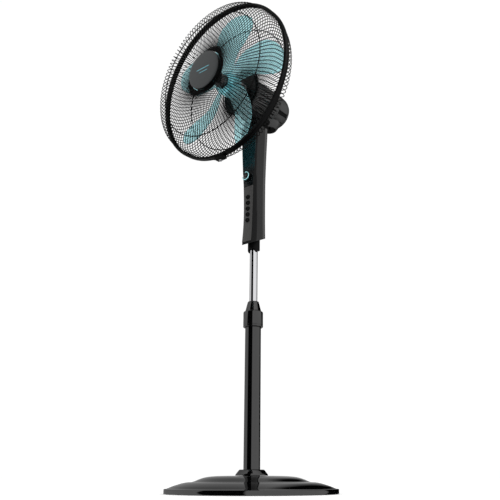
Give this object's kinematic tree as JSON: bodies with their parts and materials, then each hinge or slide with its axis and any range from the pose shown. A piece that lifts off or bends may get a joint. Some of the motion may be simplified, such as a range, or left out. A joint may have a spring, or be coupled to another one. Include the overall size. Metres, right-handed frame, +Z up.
{
  "type": "pedestal fan",
  "caption": "Standing fan: round weighted base, telescopic pole, control neck with timer and buttons, tilting and oscillating caged head with wide blades.",
  "frame": {"origin": "on the floor under the middle of the pole", "axes": "+Z up; the fan faces -Y; +X is to the right of someone looking at the fan's face along +Y"},
  "size_m": [0.439, 0.4045, 1.246],
  "materials": {
    "gloss_black": "gloss injection moulded, mirror-like",
    "satin_grey": "satin, brushed look",
    "matt_black": "fine moulded texture",
    "tube_black": "gloss enamel on steel tube",
    "painted_steel": "matt paint",
    "display_panel": "gloss with a printed dot pattern",
    "cyan_ring": "satin pale cyan",
    "wire": "powder coated wire",
    "turquoise_blade": "clear tinted plastic",
    "chrome": "polished",
    "steel": "plain machined",
    "rubber": "matt",
    "copper": "varnished winding"
  },
  "bodies": {
    "stand": {"base_cover": "gloss_black", "base_weight": "painted_steel", "rubber_foot_1": "rubber", "rubber_foot_2": "rubber", "rubber_foot_3": "rubber", "rubber_foot_4": "rubber", "base_bolt": "steel", "tube_plug": "matt_black", "foot_flange": "gloss_black", "lower_tube": "tube_black", "tube_bush": "matt_black"},
    "height_nut": {"height_nut": "gloss_black"},
    "column": {"inner_pole": "chrome", "neck_collar": "matt_black", "neck_lock_screw": "matt_black", "neck_front_shell": "gloss_black", "neck_rear_shell": "gloss_black", "neck_cap": "matt_black", "display_panel": "display_panel", "button_panel": "satin_grey", "switch_block": "matt_black", "timer_body": "steel", "pivot_block": "steel", "tilt_bolt": "steel"},
    "push_button_1": {"push_button_1": "matt_black"},
    "push_button_2": {"push_button_2": "matt_black"},
    "push_button_3": {"push_button_3": "matt_black"},
    "push_button_4": {"push_button_4": "matt_black"},
    "push_button_5": {"push_button_5": "matt_black"},
    "timer_knob": {"timer_knob": "matt_black", "knob_ring": "cyan_ring"},
    "tilt_yoke": {"tilt_yoke": "matt_black", "link_screw": "steel"},
    "oscillation_link": {"oscillation_link": "steel"},
    "head": {"head_bracket": "matt_black", "motor_front_housing": "matt_black", "motor_rear_cover": "matt_black", "front_bearing": "steel", "rear_bearing": "steel", "motor_end_bell": "steel", "stator_stack": "steel", "front_coil": "copper", "rear_coil": "copper", "gearbox": "matt_black", "run_capacitor": "matt_black", "rear_guard_plate": "matt_black", "rear_guard_nut": "matt_black", "rear_guard": "wire", "front_guard": "wire", "guard_ring": "gloss_black", "ring_clip": "matt_black", "ring_clip_screw": "steel", "badge_base": "matt_black", "badge_cover": "satin_grey"},
    "oscillation_crank": {"oscillation_crank": "steel"},
    "oscillation_pull_knob": {"oscillation_pull_knob": "matt_black"},
    "rotor": {"rotor_core": "steel", "motor_shaft": "steel", "impeller": "turquoise_blade", "spinner": "matt_black"}
  },
  "joints": [
    {"name": "height_nut_turn", "type": "hinge", "parent": "stand", "child": "height_nut", "pos_m": [0, 0, 0.42], "axis": [0, 0, 1], "range_deg": [0, 270]},
    {"name": "height_slide", "type": "slide", "parent": "stand", "child": "column", "axis": [0, 0, 1], "range_m": [-0.128, 0.05]},
    {"name": "timer_knob_turn", "type": "hinge", "parent": "column", "child": "timer_knob", "pos_m": [0, -0.02475, 0.787], "axis": [0, -1, 0], "range_deg": [-300, 0]},
    {"name": "push_button_1_press", "type": "slide", "parent": "column", "child": "push_button_1", "axis": [0, 1, 0], "range_m": [0, 0.003], "stiffness_N_per_m": 400, "springref_m": -0.0005},
    {"name": "push_button_2_press", "type": "slide", "parent": "column", "child": "push_button_2", "axis": [0, 1, 0], "range_m": [0, 0.003], "stiffness_N_per_m": 400, "springref_m": -0.0005},
    {"name": "push_button_3_press", "type": "slide", "parent": "column", "child": "push_button_3", "axis": [0, 1, 0], "range_m": [0, 0.003], "stiffness_N_per_m": 400, "springref_m": -0.0005},
    {"name": "push_button_4_press", "type": "slide", "parent": "column", "child": "push_button_4", "axis": [0, 1, 0], "range_m": [0, 0.003], "stiffness_N_per_m": 400, "springref_m": -0.0005},
    {"name": "push_button_5_press", "type": "slide", "parent": "column", "child": "push_button_5", "axis": [0, 1, 0], "range_m": [0, 0.003], "stiffness_N_per_m": 400, "springref_m": -0.0005},
    {"name": "head_tilt", "type": "hinge", "parent": "column", "child": "tilt_yoke", "pos_m": [0, 0, 0.925], "axis": [-1, 0, 0], "range_deg": [-10, 20]},
    {"name": "oscillation", "type": "hinge", "parent": "tilt_yoke", "child": "head", "pos_m": [0, 0, 0.956], "axis": [0, 0, 1], "range_deg": [-40, 40]},
    {"name": "link_swing", "type": "hinge", "parent": "tilt_yoke", "child": "oscillation_link", "pos_m": [0.024, 0, 0.956], "axis": [0, 0, 1], "range_deg": [-36, 36]},
    {"name": "crank_turn", "type": "hinge", "parent": "head", "child": "oscillation_crank", "pos_m": [0, 0.06, 0.962], "axis": [0, 0, 1], "continuous": true},
    {"name": "oscillation_pull", "type": "slide", "parent": "head", "child": "oscillation_pull_knob", "axis": [0, 0, 1], "range_m": [0, 0.008]},
    {"name": "rotor_spin", "type": "hinge", "parent": "head", "child": "rotor", "pos_m": [0, 0, 1.0265], "axis": [0, -1, 0], "continuous": true}
  ],
  "couplings": [
    {"joint": "link_swing", "follows": "oscillation", "ratio": 0.89}
  ]
}
